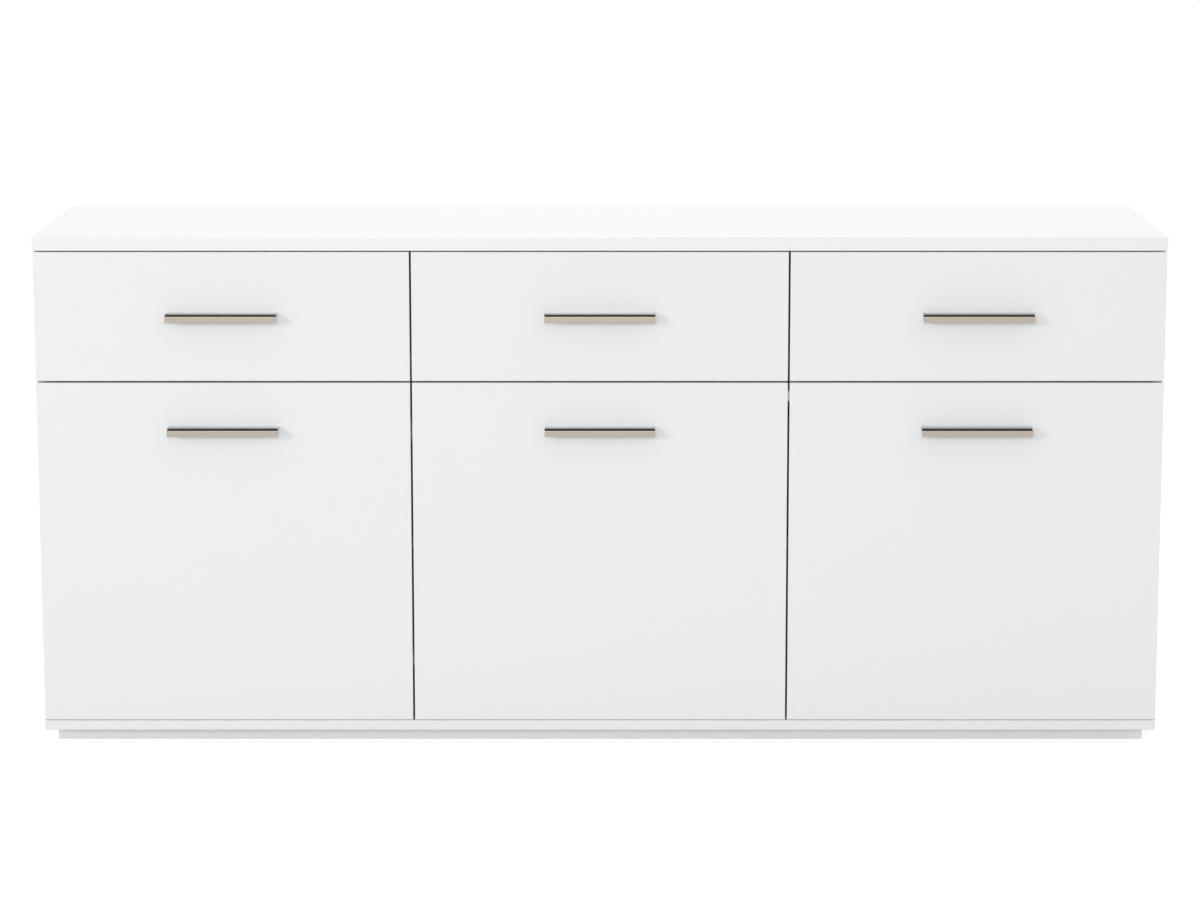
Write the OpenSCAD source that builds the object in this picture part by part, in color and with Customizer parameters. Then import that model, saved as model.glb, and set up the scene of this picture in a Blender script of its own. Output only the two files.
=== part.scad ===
// Sideboard with three drawers over three hinged doors, on a low recessed plinth.
// Millimetres. +X is to the right, -Y is the front and +Z is up.
// The origin is on the floor, under the middle of the overall box.

/* [Overall] */
// Width of the top panel
width = 1800; // [1400:10:2400]
// Depth from the faces of the doors and drawers to the back edge
depth = 400; // [320:10:560]
// Height from the floor to the upper face of the top panel
height = 830; // [680:5:1100]

/* [Layout] */
// Clear width of the middle bay
middle_bay = 608; // [440:2:760]
// Height of a drawer front
drawer_front_h = 207.5; // [160:0.5:260]
// Gap between neighbouring fronts
gap = 3; // [2.5:0.5:5]
// Gap between the drawer fronts and the top panel
top_gap = 2; // [2:0.5:5]
// Gap between the doors and the base panel
base_gap = 1; // [1:0.5:4]
// Free space between the back of a closed front and the edges of the carcass boards
front_air = 3.5; // [3.5:0.5:6]
// How far a side front laps past the inner face of a divider
front_lap = 1.5; // [0:0.5:3]
// How far the top panel overhangs each side panel
top_overhang = 1; // [0:0.5:10]

/* [Boards] */
// Thickness of the top panel
top_t = 22; // [16:1:38]
// Thickness of the base panel, sides, dividers and shelves
board_t = 16; // [15:1:22]
// Thickness of the door and drawer fronts
front_t = 16; // [16:1:22]
// Thickness of the raw floor boards that lie on the base panel
floor_t = 12; // [8:1:19]
// Distance of a floor board behind the front edges of the carcass boards
floor_setback = 12; // [4:1:40]
// Thickness of the hardboard back and drawer bottoms
hardboard_t = 3; // [2.5:0.5:5]
// Radius of the eased edges on the fronts, the top and the base
edge_r = 1; // [0.4:0.1:1.5]

/* [Plinth] */
// Height of the plinth
plinth_h = 24; // [20:1:80]
// Distance of the plinth behind the faces of the fronts
plinth_setback = 30; // [10:1:80]
// Distance of the plinth inside each side panel's outer face
plinth_inset = 16; // [0:1:60]

/* [Handles] */
// Distance between the two handle screws
handle_pitch = 160; // [96:32:320]
// How far a handle runs on past each of its screws
handle_end = 8; // [5:0.5:30]
// Distance of the nose's face from the front that the handle is fixed to
handle_reach = 23; // [18:0.5:35]
// Depth of the flat web that joins the nose to the front
handle_web_reach = 16; // [12:0.5:24]
// Thickness of the web
handle_web_t = 6.4; // [5.5:0.1:9]
// Height of the gripping nose
handle_nose_h = 10; // [8:0.5:16]
// Drop from the web's upper face to the nose's upper face
handle_step = 3; // [1:0.5:4]
// Distance from a door's upper edge to the centre of its handle
door_handle_drop = 77; // [40:1:200]

/* [Drawers] */
// Thickness of the drawer sides and back
drawer_side_t = 12; // [10:1:16]
// Height of the drawer sides
drawer_side_h = 140; // [80:5:160]
// Space on each side of a drawer box for its runner
runner_space = 12.5; // [12.5:0.5:14]
// Height of the runners above the lower edge of the drawer front
runner_rise = 18; // [8:1:40]
// Thickness of the runner's sheet steel
sheet_t = 1.2; // [1:0.1:1.5]
// Radius of the runner's rollers
roller_r = 8.5; // [7:0.5:10]

/* [Doors] */
// Distance from a door's end to the centre of the nearer hinge
hinge_inset = 90; // [60:1:140]
// Diameter of the hinge cup
cup_d = 35; // [35:1:40]
// Depth of the hinge cup in the door
cup_depth = 12.5; // [11.5:0.1:13]
// Distance from the door's edge to the rim of the cup
cup_edge = 3; // [3:0.5:6]
// Height of the shelves' undersides above the floor boards
shelf_rise = 266; // [120:2:400]
// Distance of the shelves behind the front edges of the carcass boards
shelf_setback = 20; // [5:1:60]

/* [Hidden] */
$fn = 48;

// Bays, and which way each one's door is hung
LEFT = 0;
MIDDLE = 1;
RIGHT = 2;
BAYS = [LEFT, MIDDLE, RIGHT];

// Colours
gloss_white = "#f1f3f4";
inner_white = "#eceeed";
raw_board = "#b59a70";
hardboard = "#f0efec";
steel = "#c9cdd1";
runner_white = "#f2f2f0";
nylon = "#dfe0dc";
alu = "#b9ad9a";
beech = "#d9b98a";

// General clearances
fit = 0.1;          // a fixed piece in its seat, on each side
slack = 0.5;        // a loose board between two others, on each side
running = 0.05;     // a pin or axle in its bearing, on the radius
slide_air = 0.4;    // moving sheet metal beside fixed sheet metal

// Heights
z_base = plinth_h;
z_floor = z_base + board_t;
z_head = height - top_t;
z_door = z_floor + base_gap;
door_h = z_head - z_floor - base_gap - gap - top_gap - drawer_front_h;
z_drawer = z_door + door_h + gap;
z_shelf = z_floor + floor_t + shelf_rise;

// Depths
y_face = (handle_reach - depth) / 2;
y_edge = y_face + front_t + front_air;
y_rear = y_face + depth;
y_inner = y_rear - hardboard_t;

// Widths
x_side = width / 2 - top_overhang;
x_bay = middle_bay / 2;

// Outside of the plinth's four rails, and how far the back panels stand in the top and base
plinth_rear_gap = 12;
plinth_x = x_side - plinth_inset;
plinth_y = y_face + plinth_setback;
plinth_y2 = y_rear - plinth_rear_gap;
back_lap = 8;
shelf_rear_gap = 2;

function bay_lo(i) = i == LEFT ? board_t - x_side : i == MIDDLE ? -x_bay : x_bay + board_t;
function bay_hi(i) = -bay_lo(2 - i);
function front_lo(i) =
    i == LEFT ? -x_side :
    i == MIDDLE ? front_lap + gap - x_bay :
    x_bay - front_lap;
function front_hi(i) = -front_lo(2 - i);
function front_mid(i) = (front_lo(i) + front_hi(i)) / 2;
function front_w(i) = front_hi(i) - front_lo(i);

// Runners come in lengths of whole steps
runner_step = 50;
runner_start = 3;
runner_rear_space = 22;
runner_len = runner_step * floor((y_inner - y_edge - runner_start - runner_rear_space) / runner_step);
y_runner = y_edge + runner_start;
z_runner = z_drawer + runner_rise;

// Runner section, measured from the cabinet wall and from the runner's lower face
channel_h = 2 * roller_r + 3;
channel_lip_h = 1.5;
box_x = runner_space;
rail_web_x = box_x - sheet_t;
lip_x = rail_web_x - slide_air;
channel_roof_x = 7.6;
rail_roof_air = 0.6;
rail_roof_z = channel_h + rail_roof_air;
rail_foot_z = 2;
rail_foot_w = 12;
roller_w = 6;
rear_roller_x = 3.2;
rear_roller_z = sheet_t + fit + roller_r;
front_roller_x = 2.6;
front_roller_z = rail_roof_z - fit - roller_r;
axle_r = 2;
axle_head_r = 3.2;
axle_head_t = 1;
collar_r = 3.4;
side_air = 0.2;     // a roller beside the collar or the head of its axle
front_axle_y = 15;
rear_axle_y = runner_len - 14;
roof_start = front_axle_y + roller_r + 3;
end_stop_y = runner_len - 3 * sheet_t;
runner_screw_ys = [34, runner_len / 2, runner_len - 50];
runner_screw_z = channel_h / 2;
runner_slot_r = 2.2;
runner_slot_half = 4;
runner_slot_pitch = 32;
runner_slot_start = 60;
runner_slot_end = 80;
runner_slot_room = 14;
z_box = z_runner + rail_foot_z + sheet_t;

// Drawer box
y_box = y_face + front_t;
box_len = y_runner + runner_len - y_box;
groove_rise = 10;
groove_depth = 6;
bottom_bite = 5;    // how far the hardboard bottom runs into the drawer front
drawer_back_y = y_box + box_len - drawer_side_t;
box_screw_ys = [40, runner_len - 60];
box_screw_z = 8;
box_screw_len = 9;
box_screw_head_r = 3.2;
box_screw_head_t = 0.9;
back_screw_len = 30;
back_screw_shares = [0.35, 0.8];
dowel_r = 3;
dowel_len = 20;
dowel_shares = [0.3, 0.75];
function box_lo(i) = bay_lo(i) + box_x;
function box_hi(i) = bay_hi(i) - box_x;

// Hinge, measured from the door's front corner on the hung side
cup_r = cup_d / 2;
cup_x = cup_edge + cup_r;
cup_wall = 0.8;
cup_y = front_t - cup_depth;
flange_t = 1;
flange_rim = 1.6;
flange_ear_r = 6.5;
flange_screw_x = cup_x + 8;
flange_screw_z = 24;
flange_screw_r = 1.5;
flange_screw_len = 10;
flange_screw_head_r = 2.8;
flange_screw_head_t = 1.2;
eye_r = 2.5;
pin_r = 1.25;
pin_y = cup_y + 4;
overlay_pin_x = 7.5;
inset_pin_x = 12;
eye_h = 10;
eye_air = 0.4;      // the arm's eye beside each boss
boss_t = 3;
boss_wall = 1.2;    // metal round the pin in a boss
boss_z = eye_h / 2 + eye_air;
bar_t = 3.4;
leg_air = 0.6;      // the arm's leg beside the path of the door's back corner
arm_w = 16;
arm_h = 6.4;
arm_wall = 1.2;
arm_len = 50;
arm_start = 12;
arm_screw_ys = [14, 38];
arm_screw_r = 2.2;
arm_screw_len = 5;
arm_screw_head_r = 3.4;
arm_screw_head_t = 1.4;
plate_t = 1.2;
plate_ear_w = 13;
plate_screw_z = 16;
system_y = 37;
inset_spacer = 9;
hinge_zs = [z_door + hinge_inset, z_door + door_h - hinge_inset];

// Fasteners
panel_screw_r = 1.75;
panel_screw_len = 12;
// Board left between the points of two short screws, back to back in a divider
screw_point_gap = 1.4;
short_screw_grip = (board_t - screw_point_gap) / 2;
panel_head_r = 3.6;
panel_head_t = 1.6;
handle_screw_r = 2;
handle_screw_grip = 10;
handle_head_r = 4;
handle_head_t = 2.4;
cam_r = 7.5;
cam_depth = board_t / 2 + 4;
cam_drop = 24;
cam_wall = 2.4;
cam_recess = 1.2;
cam_bolt_r = 3.5;
cam_bolt_neck_r = 1.8;
cam_bolt_thread_r = 2.4;
cam_bolt_bite = 11;
base_screw_r = 2.5;
base_screw_len = board_t + 22;
plinth_screw_sink = 1;
plinth_screw_len = plinth_h + board_t - 2 * plinth_screw_sink;
plinth_screw_shares = [-0.84, -0.28, 0.28, 0.84];
base_head_r = 4.8;
base_head_t = 3.2;
nail_r = 0.8;
nail_len = 20;
nail_head_r = 2;
nail_head_t = 0.6;
nail_count = 6;
nail_edge = 4;
nail_inset = 40;
upright_screw_inset = 50;
upright_ys = [y_edge + upright_screw_inset, y_inner - upright_screw_inset];
pin_hole_r = 2.5;
pin_bite = 7;
pin_reach = 8;
pin_collar_r = 4;
pin_collar_t = 1.4;
pin_pitch = 32;
pin_rows = [-2, -1, 0, 1, 2];
pin_ys = [y_edge + system_y, y_inner - system_y];
catch_w = 12;
catch_h = 16;
catch_len = 34;
catch_ear_t = 2.4;
catch_ear_w = 9;
catch_screw_y = 20.4;
catch_screw_z = catch_h / 2 + 4;
pole_t = 1.6;
pole_sink = 0.5;
pole_edge = 3;
strike_t = 1.2;
strike_screw_len = 8;
strike_air = 0.3;
z_catch = z_door + door_h - 24;

// ---------- Outlines and small helpers ----------

// Rectangle of size a by b whose two corners on the b = 0 side are rounded
module eased_outline(a, b, r) {
    translate([0, r]) square([a, b - r]);
    translate([r, 0]) square([a - 2 * r, b]);
    translate([r, r]) circle(r);
    translate([a - r, r]) circle(r);
}

// Rectangle with four rounded corners
module rounded_outline(a, b, r) {
    translate([0, r]) square([a, b - 2 * r]);
    translate([r, 0]) square([a - 2 * r, b]);
    for (x = [r, a - r], y = [r, b - r]) translate([x, y]) circle(r);
}

// Front panel: w by h with thickness t behind y = 0, its four front edges eased
module front_blank(w, h, t) {
    intersection() {
        linear_extrude(h) eased_outline(w, t, edge_r);
        translate([0, 0, h]) rotate([0, 90, 0]) linear_extrude(w) eased_outline(h, t, edge_r);
    }
}

// Wide board: all edges eased but those at the back
module slab_blank(w, d, t) {
    intersection() {
        linear_extrude(t) eased_outline(w, d, edge_r);
        translate([0, d, 0]) rotate([90, 0, 0]) linear_extrude(d) rounded_outline(w, t, edge_r);
        translate([w, 0, 0]) rotate([90, 0, -90]) linear_extrude(w) mirror([1, 0])
            slab_end(d, t);
    }
}

// End outline of a wide board, front at x = 0 of the outline
module slab_end(d, t) {
    translate([0, edge_r]) square([d, t - 2 * edge_r]);
    translate([edge_r, 0]) square([d - edge_r, t]);
    for (z = [edge_r, t - edge_r]) translate([edge_r, z]) circle(edge_r);
}

// Cylinders that run along X and along Y
module rod_x(r, len) {
    rotate([0, 90, 0]) cylinder(r = r, h = len);
}

module rod_y(r, len) {
    rotate([-90, 0, 0]) cylinder(r = r, h = len);
}

// Screw along +Z with a countersunk head whose face is at z = 0
module countersunk_screw(r, len, head_r, head_t) {
    cylinder(r = r, h = len - 2 * r);
    translate([0, 0, len - 2 * r]) cylinder(r1 = r, r2 = 0.3, h = 2 * r);
    difference() {
        cylinder(r1 = head_r, r2 = r, h = head_t);
        cross_slot(head_r, head_t / 2);
    }
}

// Cross recess cut in a screw head whose face is at z = 0
module cross_slot(head_r, deep) {
    slot_l = 1.1 * head_r;
    slot_w = 0.28 * head_r;
    for (a = [0, 90])
        rotate(a) translate([-slot_l / 2, -slot_w / 2, -1]) cube([slot_l, slot_w, deep + 1]);
}

// Screw along +Z with a pan head below z = 0
module pan_screw(r, len, head_r, head_t) {
    cylinder(r = r, h = len);
    difference() {
        union() {
            translate([0, 0, -head_t / 2]) cylinder(r = head_r, h = head_t / 2);
            translate([0, 0, -head_t]) cylinder(r1 = 0.7 * head_r, r2 = head_r, h = head_t / 2);
        }
        translate([0, 0, -head_t]) cross_slot(head_r, head_t / 2);
    }
}

// ---------- Places where pieces meet ----------

// Left faces of the four uprights
function upright_lo(k) = [-x_side, -x_bay - board_t, x_bay, x_side - board_t][k];

// Puts children at each row of pins and holes on one face of an upright, pointing +X out of it
module at_pin_holes(x, facing, rows) {
    for (y = pin_ys, n = rows)
        translate([x, y, z_shelf - pin_hole_r + n * pin_pitch])
            rotate([0, facing > 0 ? 90 : -90, 0]) children();
}

// Cam fittings: a cam in the upright's face that looks into a bay, its bolt up into the top panel
function cam_face(k) = k < 2 ? upright_lo(k) + board_t : upright_lo(k);
function cam_side(k) = k < 2 ? 1 : -1;

module at_cams(k) {
    for (y = upright_ys) translate([cam_face(k), y, z_head - cam_drop]) children();
}

// Places children on both walls of bay i, with +X pointing into the bay
module on_walls(i) {
    translate([bay_lo(i), 0, 0]) children();
    translate([bay_hi(i), 0, 0]) mirror([1, 0, 0]) children();
}

// Hung side of each door: 1 on the left, -1 on the right
function hung(i) = i == RIGHT ? -1 : 1;
function hung_x(i) = hung(i) > 0 ? front_lo(i) : front_hi(i);
function wall_x(i) = hung(i) > 0 ? bay_lo(i) : bay_hi(i);
// Distance from the door's edge to the wall that carries its hinges
function wall_u(i) = abs(wall_x(i) - hung_x(i)) * (i == MIDDLE ? -1 : 1);
function pin_u(i) = i == MIDDLE ? inset_pin_x : overlay_pin_x;

// Hinge frame: x runs from the hung edge into the door, y back into the cabinet
module at_hinges(i) {
    for (z = hinge_zs)
        translate([hung_x(i), y_face, z])
            if (hung(i) > 0) children();
            else mirror([1, 0, 0]) children();
}

// Wall that a closed door's free edge lies in front of
function free_x(i) = hung(i) > 0 ? bay_hi(i) : bay_lo(i);

module at_catch(i) {
    translate([free_x(i), 0, z_catch])
        if (hung(i) > 0) mirror([1, 0, 0]) children();
        else children();
}

// ---------- Carcass ----------

module top_panel() {
    color(gloss_white) difference() {
        translate([-width / 2, y_face, z_head]) slab_blank(width, depth, top_t);
        back_rebate(z_head, 1);
        for (k = [0:3], y = upright_ys)
            translate([upright_lo(k) + board_t / 2, y, z_head - 1])
                cylinder(r = cam_bolt_thread_r + fit, h = cam_bolt_bite + 1 + fit);
    }
}

module base_panel() {
    color(gloss_white) difference() {
        translate([-x_side, y_face, z_base]) slab_blank(2 * x_side, depth, board_t);
        back_rebate(z_floor, -1);
        at_base_screws() screw_way(z_floor - z_base);
        at_plinth_screws() cylinder(r = base_screw_r + fit, h = plinth_screw_len + fit);
    }
}

// Rebate along the rear inner edge of the top or the base, which the back panels stand in
module back_rebate(z, up) {
    h = back_lap + fit;
    translate([-width, y_inner - fit, up > 0 ? z - 1 : z - h])
        cube([2 * width, hardboard_t + 1, h + 1]);
}

// Way for a base screw: its head's countersink and its shank
module screw_way(len) {
    translate([0, 0, -1]) cylinder(r = base_screw_r + fit, h = len + 2);
    translate([0, 0, -fit])
        cylinder(r1 = base_head_r + fit, r2 = base_screw_r + fit, h = base_head_t + fit);
}

module at_base_screws() {
    for (k = [0:3], y = upright_ys) translate([upright_lo(k) + board_t / 2, y, z_base]) children();
}

module at_plinth_screws() {
    for (n = plinth_screw_shares, y = [plinth_y, plinth_y2 - board_t])
        translate([n * plinth_x, y + board_t / 2, plinth_screw_sink]) children();
    for (side = [-1, 1])
        translate([side * (plinth_x - board_t / 2), (plinth_y + plinth_y2) / 2, plinth_screw_sink])
            children();
}

module plinth_rail_cut() {
    at_plinth_screws() {
        screw_way(plinth_h);
        translate([0, 0, -plinth_screw_sink - 1])
            cylinder(r = base_head_r + fit, h = plinth_screw_sink + 1);
    }
}

module plinth_front() {
    color(gloss_white) difference() {
        translate([-plinth_x, plinth_y, 0]) front_blank(2 * plinth_x, plinth_h, board_t);
        plinth_rail_cut();
    }
}

module plinth_back() {
    color(inner_white) difference() {
        translate([-plinth_x, plinth_y2 - board_t, 0]) cube([2 * plinth_x, board_t, plinth_h]);
        plinth_rail_cut();
    }
}

module plinth_ends() {
    color(gloss_white) difference() {
        for (x = [-plinth_x, plinth_x - board_t])
            translate([x, plinth_y + board_t, 0])
                cube([board_t, plinth_y2 - plinth_y - 2 * board_t, plinth_h]);
        plinth_rail_cut();
    }
}

// Upright k of the four, with the drilling that its place calls for
module upright(k) {
    x = upright_lo(k);
    difference() {
        translate([x, y_edge, z_floor]) cube([board_t, y_inner - y_edge, z_head - z_floor]);
        if (k > 0) at_pin_holes(x, -1, pin_rows) pin_hole();
        if (k < 3) at_pin_holes(x + board_t, 1, pin_rows) pin_hole();
        at_cams(k) mirror([cam_side(k) > 0 ? 1 : 0, 0, 0]) cam_hole();
        at_base_screws() cylinder(r = base_screw_r, h = base_screw_len + fit);
        for (i = BAYS) wall_screw_holes(i);
        nail_ways();
    }
}

module pin_hole() {
    translate([0, 0, -pin_bite - fit]) cylinder(r = pin_hole_r + running, h = pin_bite + 1);
}

module cam_hole() {
    translate([-1, 0, 0]) rod_x(cam_r + fit, cam_depth + 1 + fit);
    translate([board_t / 2, 0, 0]) cylinder(r = cam_bolt_r + fit, h = cam_drop + 1);
}

// Pilot holes of the screws that hold the runners, hinge plates and catch in bay i
module wall_screw_holes(i) {
    on_walls(i) at_runner_screws() translate([0, 0, -sheet_t]) screw_seat(sheet_t + short_screw_grip);
    at_hinges(i) at_plate_screws(i) screw_pilot(panel_screw_len);
    at_catch(i) at_catch_screws() screw_pilot(short_screw_grip);
}

module screw_pilot(depth) {
    translate([0, 0, -1]) cylinder(r = panel_screw_r + running, h = depth + 1 + fit);
}

// Frames of the wall screws, with +Z pointing into the wall from its face
module at_runner_screws() {
    for (y = runner_screw_ys)
        translate([0, y_runner + y, z_runner + runner_screw_z]) rotate([0, -90, 0]) children();
}

module at_plate_screws(i) {
    for (z = [-plate_screw_z, plate_screw_z])
        translate([wall_u(i), y_edge - y_face + system_y, z]) rotate([0, -90, 0]) children();
}

module at_catch_screws() {
    for (z = [-1, 1])
        translate([0, y_edge + catch_screw_y, z * catch_screw_z]) rotate([0, -90, 0]) children();
}

module side_left() { color(gloss_white) upright(0); }
module divider_left() { color(inner_white) upright(1); }
module divider_right() { color(inner_white) upright(2); }
module side_right() { color(gloss_white) upright(3); }

module floor_boards() {
    color(raw_board) for (i = BAYS)
        translate([bay_lo(i) + slack, y_edge + floor_setback, z_floor])
            cube([
                bay_hi(i) - bay_lo(i) - 2 * slack,
                y_inner - y_edge - floor_setback - slack,
                floor_t
            ]);
}

// Edges of back panel i, which meets its neighbour on the middle of a divider
function back_lo(i) =
    i == LEFT ? slack - x_side :
    i == MIDDLE ? slack - x_bay - board_t / 2 :
    x_bay + board_t / 2 + slack;
function back_hi(i) = -back_lo(2 - i);

module back_panels() {
    color(hardboard) difference() {
        for (i = BAYS)
            translate([back_lo(i), y_inner, z_floor - back_lap])
                cube([back_hi(i) - back_lo(i), hardboard_t, z_head - z_floor + 2 * back_lap]);
        nail_ways();
    }
}

// Nails run up both edges of each back panel
nail_zs = [
    for (n = [0:nail_count - 1])
        z_floor + nail_inset + n * (z_head - z_floor - 2 * nail_inset) / (nail_count - 1)
];

module at_nails() {
    for (i = BAYS, x = [back_lo(i) + nail_edge, back_hi(i) - nail_edge], z = nail_zs)
        translate([x, y_rear, z]) rotate([90, 0, 0]) children();
}

module nail_ways() {
    at_nails() translate([0, 0, -1]) {
        cylinder(r = nail_r + running, h = nail_len + 1 + fit);
        cylinder(r = nail_head_r + running, h = nail_head_t + 1);
    }
}

module back_nails() {
    color(steel) at_nails() {
        cylinder(r = nail_r, h = nail_len);
        cylinder(r = nail_head_r, h = nail_head_t);
    }
}

module shelves() {
    color(inner_white) for (i = BAYS)
        translate([bay_lo(i) + slack, y_edge + shelf_setback, z_shelf])
            cube([
                bay_hi(i) - bay_lo(i) - 2 * slack,
                y_inner - y_edge - shelf_setback - shelf_rear_gap,
                board_t
            ]);
}

// Pins stand in the middle row of holes, just under the shelves
module shelf_pins() {
    color(steel) for (i = BAYS) {
        at_pin_holes(bay_lo(i), 1, [0]) shelf_pin();
        at_pin_holes(bay_hi(i), -1, [0]) shelf_pin();
    }
}

module shelf_pin() {
    translate([0, 0, -pin_bite]) cylinder(r = pin_hole_r, h = pin_bite + pin_reach);
    intersection() {
        cylinder(r = pin_collar_r, h = pin_collar_t);
        translate([-pin_hole_r, -pin_collar_r, 0])
            cube([2 * pin_hole_r, 2 * pin_collar_r, pin_collar_t]);
    }
}

// ---------- Carcass fasteners ----------

module cam_fittings() {
    color(steel) for (k = [0:3]) at_cams(k)
        mirror([cam_side(k) > 0 ? 1 : 0, 0, 0]) {
            cam_housing();
            cam_bolt();
        }
}

// Cam with a ribbed recess in its face and a hollow for the bolt's head
module cam_housing() {
    rib = 1.8;
    rib_len = 2 * (cam_r - cam_wall) + 1;
    difference() {
        rod_x(cam_r, cam_depth);
        translate([-1, 0, 0]) rod_x(cam_r - cam_wall, cam_recess + 1);
        translate([board_t / 2, 0, 0]) cylinder(r = cam_bolt_r + fit, h = cam_r + 1);
    }
    for (a = [0, 90]) rotate([a, 0, 0])
        translate([cam_recess / 2, -rib_len / 2, -rib / 2]) cube([cam_recess, rib_len, rib]);
}

// Bolt from the cam's hollow up into the top: a head, a neck, a collar and a thread
module cam_bolt() {
    start = 1;
    head = 2.5;
    neck = 2.5;
    translate([board_t / 2, 0, 0]) {
        translate([0, 0, start]) cylinder(r = cam_bolt_r, h = head);
        translate([0, 0, start]) cylinder(r = cam_bolt_neck_r, h = head + neck + 1);
        translate([0, 0, start + head + neck])
            cylinder(r = cam_bolt_r, h = cam_drop - start - head - neck - fit);
        translate([0, 0, cam_drop - 1]) cylinder(r = cam_bolt_thread_r, h = cam_bolt_bite + 1);
    }
}

module base_screws() {
    color(steel) {
        at_base_screws() base_screw(base_screw_len);
        at_plinth_screws() base_screw(plinth_screw_len);
    }
}

module base_screw(len) {
    countersunk_screw(base_screw_r, len, base_head_r, base_head_t);
}

module panel_screws() {
    color(steel) for (i = BAYS) {
        on_walls(i) at_runner_screws() translate([0, 0, -sheet_t])
            countersunk_screw(panel_screw_r, sheet_t + short_screw_grip, panel_head_r, panel_head_t);
        at_hinges(i) at_plate_screws(i) translate([0, 0, -plate_t])
            pan_screw(panel_screw_r, panel_screw_len, panel_head_r, panel_head_t);
        at_catch(i) at_catch_screws() translate([0, 0, -catch_ear_t])
            pan_screw(panel_screw_r, catch_ear_t + short_screw_grip, panel_head_r, panel_head_t);
    }
}

// ---------- Drawer runners ----------

// Cabinet half: a channel for the rear roller, with its own roller near the front.
// Drawn against a wall at x = 0 that it stands on the +X side of.
module cabinet_runner() {
    translate([0, y_runner, z_runner]) {
        difference() {
            union() {
                along_y(runner_len) {
                    square([sheet_t, channel_h]);
                    square([lip_x, sheet_t]);
                    translate([lip_x - sheet_t, 0]) square([sheet_t, sheet_t + channel_lip_h]);
                }
                translate([0, roof_start, 0]) along_y(runner_len - roof_start)
                    translate([0, channel_h - sheet_t]) square([channel_roof_x, sheet_t]);
                translate([0, end_stop_y, 0]) along_y(sheet_t) square([channel_roof_x, channel_h]);
            }
            for (y = runner_screw_ys) translate([sheet_t, y, runner_screw_z])
                rotate([0, -90, 0]) screw_seat(sheet_t);
            for (y = runner_slot_ys) translate([-1, y, runner_screw_z]) runner_slot();
        }
        translate([0, front_axle_y, front_roller_z]) {
            rod_x(axle_r, front_roller_x + roller_w + side_air + axle_head_t);
            rod_x(collar_r, front_roller_x - side_air);
            translate([front_roller_x + roller_w + side_air, 0, 0]) rod_x(axle_head_r, axle_head_t);
        }
    }
}

// Slots punched in the web, where there is room beside the screw holes
runner_slot_ys = [
    for (y = [runner_slot_start:runner_slot_pitch:runner_len - runner_slot_end])
        if (min([for (s = runner_screw_ys) abs(y - s)]) > runner_slot_room) y
];

module runner_slot() {
    for (y = [-runner_slot_half, runner_slot_half])
        translate([0, y, 0]) rod_x(runner_slot_r, sheet_t + 2);
    translate([0, -runner_slot_half, -runner_slot_r])
        cube([sheet_t + 2, 2 * runner_slot_half, 2 * runner_slot_r]);
}

// Extrudes an outline in x and z along +Y
module along_y(len) {
    translate([0, len, 0]) rotate([90, 0, 0]) linear_extrude(len) children();
}

module cabinet_runners() {
    color(runner_white) for (i = BAYS) on_walls(i) cabinet_runner();
}

// Nylon roller about the X axis, from x = 0, with a shallow ring sunk in each face
module roller() {
    ring = 0.8;
    wall = 2;
    rotate([0, 90, 0]) rotate_extrude() difference() {
        intersection() {
            translate([-roller_r, 0]) rounded_outline(2 * roller_r, roller_w, 0.6);
            square([roller_r, roller_w]);
        }
        for (z = [-1, roller_w - ring])
            translate([axle_r + wall, z]) square([roller_r - axle_r - 2 * wall, ring + 1]);
        translate([0, -1]) square([axle_r + running, roller_w + 2]);
    }
}

module cabinet_rollers(i) {
    color(nylon) on_walls(i)
        translate([front_roller_x, y_runner + front_axle_y, z_runner + front_roller_z]) roller();
}

module drawer_rollers(i) {
    color(nylon) on_walls(i)
        translate([rear_roller_x, y_runner + rear_axle_y, z_runner + rear_roller_z]) roller();
}

// Drawer half: an angle under the drawer side whose roof rides on the front roller
module drawer_runner() {
    head_x = rear_roller_x - side_air - axle_head_t;
    collar_x = rear_roller_x + roller_w + side_air;
    translate([0, y_runner, z_runner]) {
        difference() {
            along_y(runner_len) {
                translate([rail_web_x, rail_foot_z])
                    square([sheet_t, rail_roof_z + sheet_t - rail_foot_z]);
                translate([rail_web_x, rail_foot_z]) square([sheet_t + rail_foot_w, sheet_t]);
                translate([front_roller_x, rail_roof_z]) square([box_x - front_roller_x, sheet_t]);
            }
            for (y = box_screw_ys) translate([rail_web_x - 1, y, box_screw_z])
                rod_x(panel_screw_r + fit, sheet_t + 2);
        }
        translate([0, rear_axle_y, rear_roller_z]) {
            translate([head_x, 0, 0]) rod_x(axle_head_r, axle_head_t);
            translate([head_x, 0, 0]) rod_x(axle_r, rail_web_x - head_x + sheet_t / 2);
            translate([collar_x, 0, 0]) rod_x(collar_r, rail_web_x - collar_x + sheet_t / 2);
        }
    }
}

module drawer_runners(i) {
    color(runner_white) on_walls(i) drawer_runner();
}

// ---------- Drawers ----------

module drawer_front(i) {
    color(gloss_white) difference() {
        translate([front_lo(i), y_face, z_drawer]) front_blank(front_w(i), drawer_front_h, front_t);
        bottom_space(i, fit);
        handle_screw_ways(i, z_drawer_handle);
        at_dowels(i) dowel_hole();
    }
}

// Space of the hardboard bottom, grown by the given clearance
module bottom_space(i, air) {
    translate([
        box_lo(i) + drawer_side_t - groove_depth + slack - air,
        y_box - bottom_bite - air,
        z_box + groove_rise - air
    ])
        cube([
            box_hi(i) - box_lo(i) - 2 * (drawer_side_t - groove_depth + slack - air),
            drawer_back_y + drawer_side_t - y_box + bottom_bite + 2 * air,
            hardboard_t + 2 * air
        ]);
}

module drawer_bottom(i) {
    color(hardboard) bottom_space(i, 0);
}

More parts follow.
